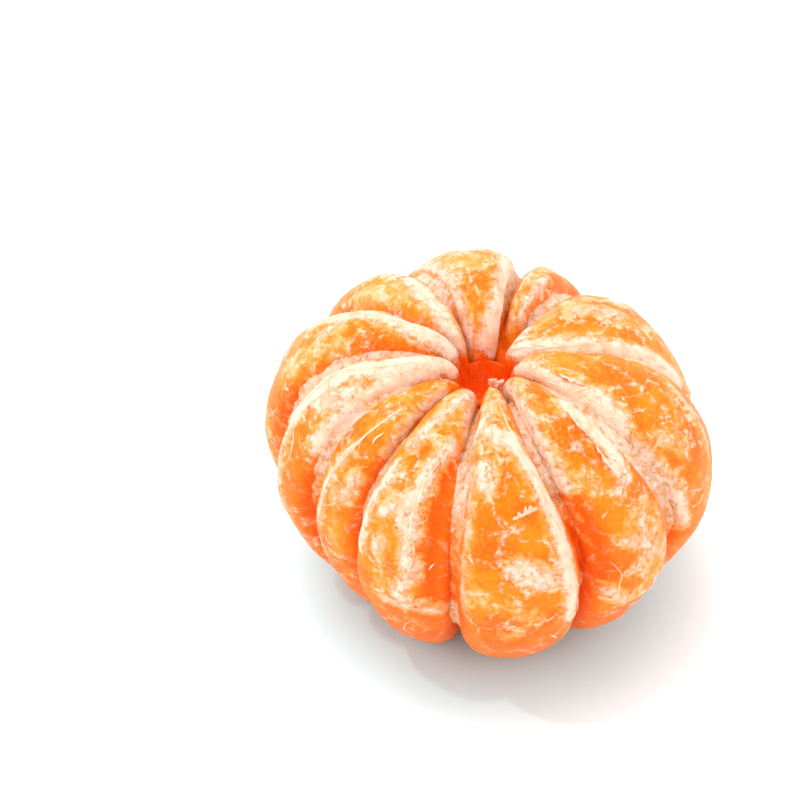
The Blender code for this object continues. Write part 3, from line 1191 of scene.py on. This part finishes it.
@dataclass
class PithNet:
    """The strand and the net of fine fibres on one segment; half widths are in millimetres."""

    segment: Segment
    bundle: int = 4
    bundle_points: int = 90
    spread: float = 0.0385
    long_fibres: int = 1
    short_fibres: int = 16
    short_shape: float = 2.0
    short_scale: float = 0.7
    bundle_widths: tuple[float, float] = (0.05, 0.13)
    long_widths: tuple[float, float] = (0.05, 0.10)
    short_widths: tuple[float, float] = (0.05, 0.15)
    loose_share: float = 0.2
    loose_lift: float = 0.35
    drift: float = 0.03
    bend: float = 0.13
    step: float = 0.3 * MM
    thickness: float = 0.14 * MM
    sink: float = 0.04 * MM
    sides: int = 5

    def ribbon(self, turns: np.ndarray, shares: np.ndarray, half_widths: np.ndarray,
               lift: np.ndarray) -> tuple[np.ndarray, list[tuple[int, ...]]]:
        """Lay a closed band on the skin.

        Args:
            turns: Angles of its stations, in radians.
            shares: Places across of its stations.
            half_widths: Half its width at each station, in metres.
            lift: How far each station stands off the skin, in metres.

        Returns:
            Points and faces of the band.
        """
        half_height = self.thickness / 2
        here, normal, beside = self.segment.surface(turns, shares)
        middle = here + normal * (half_height - self.sink + lift)[:, None]
        angles = 2 * math.pi * np.arange(self.sides) / self.sides
        heights = half_height * np.minimum(1.0, half_widths / half_height)
        wide = half_widths[:, None] * np.cos(angles)
        high = heights[:, None] * np.sin(angles)
        rings = middle[:, None] + beside[:, None] * wide[..., None]
        rings = rings + normal[:, None] * high[..., None]
        verts = np.concatenate([rings.reshape(-1, 3), middle[[0, -1]]])
        return verts, closed_rings(len(turns), self.sides)

    def wander(self, draws: np.random.Generator, turn: float, share: float, heading: float,
               length: float) -> tuple[np.ndarray, np.ndarray]:
        """Let a fibre run over the skin, bending as it goes.

        Args:
            draws: Random draws.
            turn: Angle at which it starts, in radians.
            share: Place across at which it starts.
            heading: Direction in which it starts, in radians from straight along the back.
            length: Its length in metres.

        Returns:
            Angles and places across of its stations.
        """
        turns, shares = [turn], [share]
        drift = draws.normal(0, self.drift)
        for _ in range(max(4, int(length / self.step))):
            along, beside = self.segment.metric(turns[-1])
            heading += drift + draws.normal(0, self.bend)
            turns.append(turns[-1] + self.step * math.cos(heading) / along)
            share = shares[-1] + self.step * math.sin(heading) / beside
            shares.append(float(np.clip(share, -0.95, 0.95)))
        return np.array(turns), np.array(shares)

    def spine_at(self, marks: np.ndarray | float) -> tuple[np.ndarray, np.ndarray]:
        """Find places along the segment's spine.

        Args:
            marks: How far along they are, counted in the spine's own places.

        Returns:
            Angles in radians and places across.
        """
        places = np.array(self.segment.spine, dtype=float)
        known = np.arange(len(places))
        turns = np.radians(np.interp(marks, known, places[:, 0]))
        return turns, np.interp(marks, known, places[:, 1])

    def strand(self, draws: np.random.Generator) -> tuple[np.ndarray, list[tuple[int, ...]]]:
        """Lay one fibre of the main strand, weaving beside the spine.

        Args:
            draws: Random draws.

        Returns:
            Points and faces of the fibre.
        """
        end = len(self.segment.spine) - 1
        first = draws.uniform(0, 0.35) * end
        last = min(first + end * draws.uniform(0.25, 0.5), end)
        marks = np.linspace(first, last, self.bundle_points)
        weave = np.zeros(self.bundle_points)
        for wave in range(1, 5):
            size = draws.normal(0, 1 / wave)
            weave += size * np.sin(wave * 2.1 * marks + draws.uniform(0, 6))
        turns, shares = self.spine_at(marks)
        shares = np.clip(shares + self.spread * weave, -0.9, 0.9)
        return self.fibre(draws, turns, shares, self.bundle_widths)

    def fibre(self, draws: np.random.Generator, turns: np.ndarray, shares: np.ndarray,
              widths: tuple[float, float],
              lift: float = 0.0) -> tuple[np.ndarray, list[tuple[int, ...]]]:
        """Lay one fibre along a run of places.

        Args:
            draws: Random draws.
            turns: Angles of its stations, in radians.
            shares: Places across of its stations.
            widths: Least and greatest half width, in millimetres.
            lift: How far its end stands off the skin, in millimetres.

        Returns:
            Points and faces of the fibre.
        """
        along = np.linspace(0.12, math.pi - 0.05, len(turns))
        window = 5
        rough = np.convolve(draws.normal(size=len(turns) + window - 1), np.ones(window) / window,
                            "valid")
        halves = draws.uniform(*widths) * MM * np.sin(along) ** 0.6 * (1 + 0.3 * rough)
        rise = lift * MM * np.linspace(0, 1, len(turns)) ** 2
        return self.ribbon(turns, shares, np.maximum(halves, 0.02 * MM), rise)

    def build(self) -> bpy.types.Object:
        """Build the strand and its fibres as one object.

        Returns:
            The new object.
        """
        draws = np.random.default_rng(700 + self.segment.number)
        parts = [self.strand(draws) for _ in range(self.bundle)]
        for _ in range(self.long_fibres):
            start = math.radians(draws.uniform(-35, 20))
            run = self.wander(draws, start, draws.uniform(-0.85, 0.85), draws.normal(0, 0.25),
                              draws.uniform(6, 12) * MM)
            parts.append(self.fibre(draws, *run, self.long_widths))
        for _ in range(self.short_fibres):
            if draws.random() < 0.5:
                mark = draws.uniform(0, len(self.segment.spine) - 1)
                start, share = (float(value) for value in self.spine_at(mark))
            else:
                start = math.radians(draws.uniform(-45, 115))
                share = draws.uniform(-0.9, 0.9)
            heading = draws.uniform(-math.pi, math.pi)
            length = draws.gamma(self.short_shape, self.short_scale) * MM
            run = self.wander(draws, start, share, heading, length)
            lift = self.loose_lift if draws.random() < self.loose_share else 0.0
            parts.append(self.fibre(draws, *run, self.short_widths, lift))
        return join_parts(f"{self.segment.name}_pith", parts)


@dataclass
class GrooveWeb:
    """Soft tissue that follows a run of crossings in the groove between two segments."""

    before: Segment
    after: Segment
    run: tuple[Crossing, ...]
    stations: int = 230
    columns: int = 14
    depth: float = 1.0 * MM
    overlap: float = 0.12
    sway: float = 0.05
    hollow: float = 0.20
    tuck: float = 0.13 * MM
    tuck_slope: float = 3.0 * MM
    roughness: float = 0.45 * MM
    patchiness: float = 0.25
    name: str = ""

    def build(self) -> bpy.types.Object:
        """Build the tissue as a closed, sunken band.

        Returns:
            The new object.
        """
        rows = np.array(sorted(self.run))
        turns = np.linspace(rows[0, 0], rows[-1, 0], self.stations)
        shares = np.interp(turns, rows[:, 0], rows[:, 1])
        whites = np.interp(turns, rows[:, 0], rows[:, 2])
        rings = self.rings(turns, shares)
        middles = rings.mean(axis=1)
        verts = np.concatenate([rings.reshape(-1, 3), middles[[0, -1]]])
        web = new_mesh(self.name or f"groove_web_{self.before.number:02d}", verts,
                       closed_rings(self.stations, 2 * self.columns))
        white = np.repeat(whites, 2 * self.columns)
        patches = self.before.lumps.at(rings.reshape(-1, 3), 4 * MM)
        white = with_tips(white + self.patchiness * patches)
        store_value(web, "pith", np.clip(0.85 * white - 0.05, 0, 1))
        store_value(web, "film", np.clip(0.25 + white, 0, 1))
        # Painted shade: a deeper red in the sunken groove wherever it is not white.
        store_value(web, "painted_shade", np.clip(1.0 - 1.1 * white, 0, 1))
        store_own_flow(web, verts)
        return web

    def rings(self, turns: np.ndarray, shares: np.ndarray) -> np.ndarray:
        """Stretch the tissue from one segment to the other.

        Args:
            turns: Angles of its stations, in degrees.
            shares: Places across at which it meets the segments.

        Returns:
            A closed ring of points for each station.
        """
        angles = np.radians(turns)
        path = self.before.point(angles, shares)
        sway = self.sway * self.before.lumps.layered(path, 5 * MM, 3) * smooth_step(turns, 150, 120)
        left, left_normal, _ = self.before.surface(angles, shares + sway)
        right, right_normal, _ = self.after.surface(angles, sway - shares)
        normal = left_normal + right_normal
        normal /= np.linalg.norm(normal, axis=1, keepdims=True)
        width = np.linalg.norm(right - left, axis=1)
        across = np.linspace(-self.overlap, 1 + self.overlap, self.columns)
        sag = np.clip(4 * across * (1 - across), 0.0, 1.0)
        tuck = self.tuck + self.tuck_slope * np.clip(np.abs(across - 0.5) - 0.5, 0.0, 1.0)
        top = left[:, None] + (right - left)[:, None] * across[None, :, None]
        drop = width[:, None] * self.hollow * sag + tuck
        rough = self.before.sacs.layered(top.reshape(-1, 3) + 0.4, 2.6 * MM, 3).reshape(drop.shape)
        drop = drop - self.roughness * rough * sag
        top = top - normal[:, None] * drop[..., None]
        top[..., 2] = np.maximum(top[..., 2], 0.02 * MM)
        bottom = top - normal[:, None] * self.depth
        bottom[..., 2] = np.maximum(bottom[..., 2], 0.0)
        return np.concatenate([top, bottom[:, ::-1]], axis=1)


def join_parts(name: str, parts: list[tuple[np.ndarray, list[tuple[int, ...]]]]
               ) -> bpy.types.Object:
    """Join closed bands into one object.

    Args:
        name: Name of the object.
        parts: Points and faces of each band.

    Returns:
        The new object.
    """
    verts, faces, count = [], [], 0
    for points, own in parts:
        verts.append(points)
        faces += [tuple(index + count for index in face) for face in own]
        count += len(points)
    everything = np.concatenate(verts)
    thing = new_mesh(name, everything, faces)
    store_own_flow(thing, everything)
    return thing


@dataclass
class TornFlap:
    """A scrap of pith that has torn loose and curls up from the skin.

    Its length is in millimetres, and its lift at the root and its curl are in radians.
    """

    number: int
    segment: Segment
    root: tuple[Place, Place]
    length: float
    lift: float
    curl: float = 0.6
    raggedness: float = 0.42
    sink: float = 0.08 * MM
    grain: float = 0.03 * MM
    columns: int = 44
    rows: int = 14
    thickness: float = 0.16 * MM

    def build(self) -> bpy.types.Object:
        """Build the scrap as a thin closed sheet.

        Returns:
            The new object.
        """
        draws = np.random.default_rng(900 + self.number)
        share = np.linspace(0, 1, self.columns)
        (first_turn, first_share), (last_turn, last_share) = self.root
        turns = np.radians(first_turn + share * (last_turn - first_turn))
        shares = first_share + share * (last_share - first_share)
        here, normal, _ = self.segment.surface(turns, shares)
        run = here[-1] - here[0]
        run /= np.linalg.norm(run)
        away = np.cross(run[None, :], normal)
        away /= np.linalg.norm(away, axis=1, keepdims=True)
        window = np.hanning(9)[1:-1] / 2.2
        bite = np.convolve(draws.normal(size=self.columns + len(window) - 1), window, "valid")
        arch = np.sin(math.pi * np.clip(share * 0.94 + 0.03, 0, 1)) ** 0.7
        torn = np.clip(1 + self.raggedness * bite, 0.25, 1.7)
        reach = self.length * MM * (arch * torn + 0.06)
        angle = self.lift + self.curl * np.linspace(0, 1, self.rows)
        forward = np.cumsum(np.cos(angle)) / self.rows
        upward = np.cumsum(np.sin(angle)) / self.rows
        sheet = (here[None] + away[None] * (reach[None] * forward[:, None])[..., None]
                 + normal[None] * (reach[None] * upward[:, None] - self.sink)[..., None])
        sheet += draws.normal(0, self.grain, sheet.shape)
        return self.thicken(sheet)

    def thicken(self, sheet: np.ndarray) -> bpy.types.Object:
        """Give a sheet two sides and a rim.

        Args:
            sheet: A grid of points, from the root to the free edge.

        Returns:
            The new object.
        """
        rows, columns = sheet.shape[:2]
        down = np.gradient(sheet, axis=0)
        beside = np.gradient(sheet, axis=1)
        normal = np.cross(beside, down)
        normal /= np.maximum(np.linalg.norm(normal, axis=-1, keepdims=True), 1e-12)
        free_edge = 0.45
        thin = self.thickness * np.linspace(1.0, free_edge, rows)[:, None, None] / 2
        top, bottom = sheet + normal * thin, sheet - normal * thin
        verts = np.concatenate([top.reshape(-1, 3), bottom.reshape(-1, 3)])
        grid = np.arange(rows * columns).reshape(rows, columns)
        faces = []
        for row, below in zip(grid[:-1].tolist(), grid[1:].tolist()):
            for a, b, c, d in zip(row, row[1:], below[1:], below):
                faces.append((a, b, c, d))
                faces.append(tuple(corner + rows * columns for corner in (d, c, b, a)))
        loop = [*grid[0, :], *grid[1:, -1], *grid[-1, -2::-1], *grid[-2:0:-1, 0]]
        for first, second in zip(loop, loop[1:] + loop[:1]):
            a, b = int(first), int(second)
            faces.append((b, a, a + rows * columns, b + rows * columns))
        flap = new_mesh(f"torn_flap_{self.number:02d}", verts, faces)
        store_own_flow(flap, verts)
        return flap


@dataclass
class CoreLining:
    """The juicy cup at the bottom of the open core."""

    # Deeper red painted into the cup as shade.
    painted_shade: float = 0.85
    film: float = -0.2
    mouth_radius: float = 3.9 * MM
    mouth_height: float = 34.5 * MM
    waist_radius: float = 3.1 * MM
    foot_height: float = 30.0 * MM
    thickness: float = 0.8 * MM
    sides: int = 48
    rows: int = 22

    def build(self) -> bpy.types.Object:
        """Build the cup as a thick closed shell.

        Returns:
            The new object.
        """
        lift = np.linspace(0, 1, self.rows)
        wall = self.waist_radius * (1 - (1 - lift) ** 4)
        wall = wall + (self.mouth_radius - self.waist_radius) * lift ** 3
        height = self.foot_height + (self.mouth_height - self.foot_height) * lift
        radii = np.concatenate([wall[1:], (wall + self.thickness)[::-1]])
        heights = np.concatenate([height[1:], (height - 0.6 * self.thickness)[::-1]])
        angles = 2 * math.pi * np.arange(self.sides) / self.sides
        uneven = 1 + 0.05 * np.sin(3 * angles + 0.7) + 0.04 * np.sin(5 * angles)
        x = FORM.axis[0] + np.outer(radii, uneven * np.cos(angles))
        y = FORM.axis[1] + np.outer(radii, uneven * np.sin(angles))
        z = np.repeat(heights[:, None], self.sides, axis=1)
        tips = np.array([[*FORM.axis, height[0]], [*FORM.axis, height[0] - self.thickness]])
        verts = np.concatenate([np.stack([x, y, z], axis=-1).reshape(-1, 3), tips])
        cup = new_mesh("core_lining", verts, closed_rings(len(radii), self.sides))
        store_own_flow(cup, verts)
        for name, value in (("pith", 0.0), ("film", self.film), ("painted_shade", self.painted_shade)):
            store_value(cup, name, np.full(len(verts), value))
        return cup


@dataclass
class CoreCurl:
    """The hooked scrap of core pith that stands on the front rim of the core's mouth."""

    node: str = "core_pith_curl"
    width: float = 1.7 * MM
    turn: float = math.radians(50)
    azimuth: float = math.radians(13)
    foot_radius: float = 4.8 * MM
    foot_height: float = 36.6 * MM
    half_thickness: float = 0.16 * MM
    cupping: float = 0.25 * MM
    stations: int = 56
    sides: int = 14

    def band(self, lean: float, length: float, width: float,
             bend: float) -> tuple[np.ndarray, list[tuple[int, ...]]]:
        """Shape one scrap that rises from the rim, leans sideways and narrows to its tip.

        Args:
            lean: How far its tip leans to the side, in metres.
            length: Its length in metres.
            width: Its width at the foot in metres.
            bend: How far it bends outward, in radians.

        Returns:
            Points and faces of the scrap.
        """
        outward = np.array([math.sin(self.azimuth), -math.cos(self.azimuth), 0.0])
        sideways = np.array([math.cos(self.azimuth), math.sin(self.azimuth), 0.0])
        rise = np.array([0.0, 0.0, 1.0])
        foot = np.array([*FORM.axis, self.foot_height]) + outward * self.foot_radius
        share = np.linspace(0, 1, self.stations)
        angle = bend * share
        radius = length / bend
        middle = (foot + outward * (radius * (1 - np.cos(angle)))[:, None]
                  + rise * (radius * np.sin(angle))[:, None]
                  + sideways * (lean * share ** 1.7)[:, None])
        normal = -outward * np.cos(angle)[:, None] + rise * np.sin(angle)[:, None]
        narrowing = 1 - 0.55 * share
        frayed = 1 + 0.16 * np.sin(share * 19) + 0.10 * np.sin(share * 43 + 1)
        pointed = np.minimum(1, 5 * (1 - share) + 0.12)
        halves = 0.5 * width * narrowing * frayed * pointed
        angles = 2 * math.pi * np.arange(self.sides) / self.sides
        rings = middle[:, None] + sideways * (halves[:, None] * np.cos(angles))[..., None]
        lift = self.half_thickness * np.sin(angles) + self.cupping * np.cos(angles) ** 2
        rings = rings + normal[:, None] * lift[None, :, None]
        verts = np.concatenate([rings.reshape(-1, 3), middle[[0, -1]]])
        return verts, closed_rings(self.stations, self.sides)

    def build(self) -> bpy.types.Object:
        """Build the hook and its smaller offshoot as one ragged, fibrous piece.

        Returns:
            The new object.
        """
        scraps = [
            self.band(-1.1 * MM, 4.4 * MM, self.width, self.turn),
            self.band(0.9 * MM, 2.8 * MM, 0.8 * self.width, 0.7 * self.turn),
            self.band(-0.3 * MM, 3.4 * MM, 0.5 * self.width, 1.5 * self.turn),
        ]
        return join_parts("core_curl", scraps)


@dataclass
class Studio:
    """Pale floor, soft light and the camera."""

    elevation: float = math.radians(43.5)
    distance: float = 430 * MM
    frame_width: float = 109.1 * MM
    aim_left: float = 11.86 * MM
    aim_up: float = 7.02 * MM
    middle_height: float = 21.0 * MM
    key_power: float = 1.7
    glint_power: float = 0.5
    key_place: Vector = field(default_factory=lambda: Vector((-0.18, 0.22, 0.62)))
    key_size: float = 0.42
    glint_place: Vector = field(default_factory=lambda: Vector((-0.25, -0.05, 0.55)))
    glint_size: float = 0.025
    floor_half: float = 1.5
    # Cool tint painted on the floor near the fruit, against its warm bounced light.
    cool: Colour = (0.60, 0.82, 0.86)
    cool_near: float = 23 * MM
    cool_far: float = 40 * MM
    fill: float = 1.46

    def build_floor(self) -> None:
        """Lay the floor, with a cool tint painted close to the fruit that cancels the warm light the
        fruit bounces onto it.
        """
        half = self.floor_half
        verts = [(-half, -half, 0), (half, -half, 0), (half, half, 0), (-half, half, 0)]
        mesh = bpy.data.meshes.new("studio_floor")
        mesh.from_pydata(verts, [], [(0, 1, 2, 3)])
        floor = bpy.data.objects.new("studio_floor", mesh)
        bpy.context.collection.objects.link(floor)
        desk = NodeDesk("studio_floor")
        place = desk.add("ShaderNodeTexCoord").outputs["Object"]
        shade = desk.ease(desk.noise(place, 9.0, 2.0), 0.3, 0.7)
        pale = desk.blend(shade, (0.93, 0.93, 0.935), (0.95, 0.95, 0.955))
        away = desk.add("ShaderNodeVectorMath", operation="LENGTH")
        desk.feed(away.inputs[0], place)
        near = desk.ease(away.outputs["Value"], self.cool_near, self.cool_far)
        colour = desk.blend(near, self.cool, pale)
        mesh.materials.append(desk.finish(Base_Color=colour, Roughness=0.9))

    def add_light(self, name: str, place: Vector, aim: Vector, size: float,
                  power: float) -> None:
        """Add one soft square light.

        Args:
            name: Name of the light.
            place: Where it stands.
            aim: The point that it looks at.
            size: Length of its side, in metres.
            power: Its power in watts.
        """
        data = bpy.data.lights.new(name, "AREA")
        data.shape = "SQUARE"
        data.size = size
        data.energy = power
        light = bpy.data.objects.new(name, data)
        light.location = place
        light.rotation_euler = (aim - place).to_track_quat("-Z", "Y").to_euler()
        bpy.context.collection.objects.link(light)

    def build_lights(self) -> None:
        """Light the fruit from above and behind, with a pale world round it."""
        aim = Vector((0.0, 0.0, self.middle_height))
        self.add_light("key_light", self.key_place, aim, self.key_size, self.key_power)
        self.add_light("glint_light", self.glint_place, aim, self.glint_size, self.glint_power)
        world = bpy.data.worlds.new("studio")
        world.use_nodes = True
        background = world.node_tree.nodes["Background"]
        background.inputs["Color"].default_value = (1.0, 1.0, 1.0, 1.0)
        background.inputs["Strength"].default_value = self.fill
        bpy.context.scene.world = world
        bpy.context.scene.view_settings.view_transform = "Standard"

    def build_camera(self) -> None:
        """Place the camera in front of the fruit, looking down on it."""
        data = bpy.data.cameras.new("camera")
        data.sensor_width = 36.0
        data.lens = data.sensor_width * self.distance / self.frame_width
        data.clip_start = 0.01
        camera = bpy.data.objects.new("camera", data)
        back = Vector((0.0, -math.cos(self.elevation), math.sin(self.elevation)))
        upward = Vector((0.0, math.sin(self.elevation), math.cos(self.elevation)))
        middle = Vector((FORM.axis[0], FORM.axis[1], self.middle_height))
        camera.location = middle + back * self.distance
        aim = middle + Vector((-self.aim_left, 0.0, 0.0)) + upward * self.aim_up
        camera.rotation_euler = (aim - camera.location).to_track_quat("-Z", "Y").to_euler()
        bpy.context.collection.objects.link(camera)
        bpy.context.scene.camera = camera


@dataclass
class Mandarin:
    """The whole peeled fruit.

    The cleft is the run of the tissue between the two segments that meet in front of the thin one.
    """

    segments: list[Segment] = field(default_factory=make_segments)
    cleft: tuple[Crossing, ...] = (
        (88, 0.97, 0.2), (110, 0.95, 0.05), (130, 0.93, 0.0), (160, 0.92, 0.0),
    )

    def flaps(self) -> list[TornFlap]:
        """Lay out the scraps of torn pith.

        Returns:
            The scraps.
        """
        scraps = (
            (1, ((43, 0.5), (40, 0.02)), 1.3, 0.5),
            (2, ((78, 0.4), (62, 0.42)), 1.8, 0.35),
            (2, ((60, 0.38), (47, 0.25)), 1.6, 0.5),
            (2, ((42, 0.42), (36, 0.1)), 1.0, 0.6),
            (6, ((78, -0.6), (100, -0.7)), 1.6, 0.3),
            (9, ((62, 0.6), (50, 0.3)), 1.2, 0.5),
            (11, ((40, 0.0), (28, 0.05)), 1.0, 0.4),
            (3, ((92, -0.5), (84, -0.52)), 1.0, 0.7),
        )
        return [TornFlap(number, self.segments[on_segment - 1], root, length, lift)
                for number, (on_segment, root, length, lift) in enumerate(scraps, start=1)]

    def build(self) -> None:
        """Build and dress every piece."""
        flesh = FleshFinish().material()
        white = PithFinish().material()
        for segment in self.segments:
            dress(segment.build_skin(), flesh, Slot.FLESH, segment.name)
            strand_node = f"pith_strand_{segment.number:02d}"
            dress(PithNet(segment).build(), white, Slot.PITH, strand_node)
        following = self.segments[1:] + self.segments[:1]
        for before, after in zip(self.segments, following):
            dress(GrooveWeb(before, after, before.groove).build(), flesh, Slot.FLESH)
        before_thin, after_thin = self.segments[3], self.segments[5]
        cleft = GrooveWeb(before_thin, after_thin, self.cleft, name="core_cleft")
        dress(cleft.build(), flesh, Slot.FLESH)
        for flap in self.flaps():
            dress(flap.build(), white, Slot.PITH)
        dress(CoreLining().build(), flesh, Slot.FLESH)
        curl = CoreCurl()
        dress(curl.build(), white, Slot.PITH, curl.node)


def dress(piece: bpy.types.Object, material: bpy.types.Material, slot: Slot,
          *nodes: str) -> None:
    """Give a piece its finish and its body, and report it.

    Args:
        piece: The piece.
        material: Its finish.
        slot: Its material slot in the record.
        nodes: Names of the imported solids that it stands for.
    """
    piece.data.materials.append(material)
    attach(piece, BODY)
    if nodes:
        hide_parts(*nodes)
    LOG.info("%s: %d faces, %s, stands for %s", piece.name, len(piece.data.polygons), slot.value,
             ", ".join(nodes) or "no solid of its own")


def main() -> None:
    """Build the camera, the fruit and the studio."""
    logging.basicConfig(level=logging.INFO, format="%(message)s")
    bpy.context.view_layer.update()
    studio = Studio()
    studio.build_camera()
    Mandarin().build()
    studio.build_floor()
    studio.build_lights()


if __name__ == "__main__":
    main()
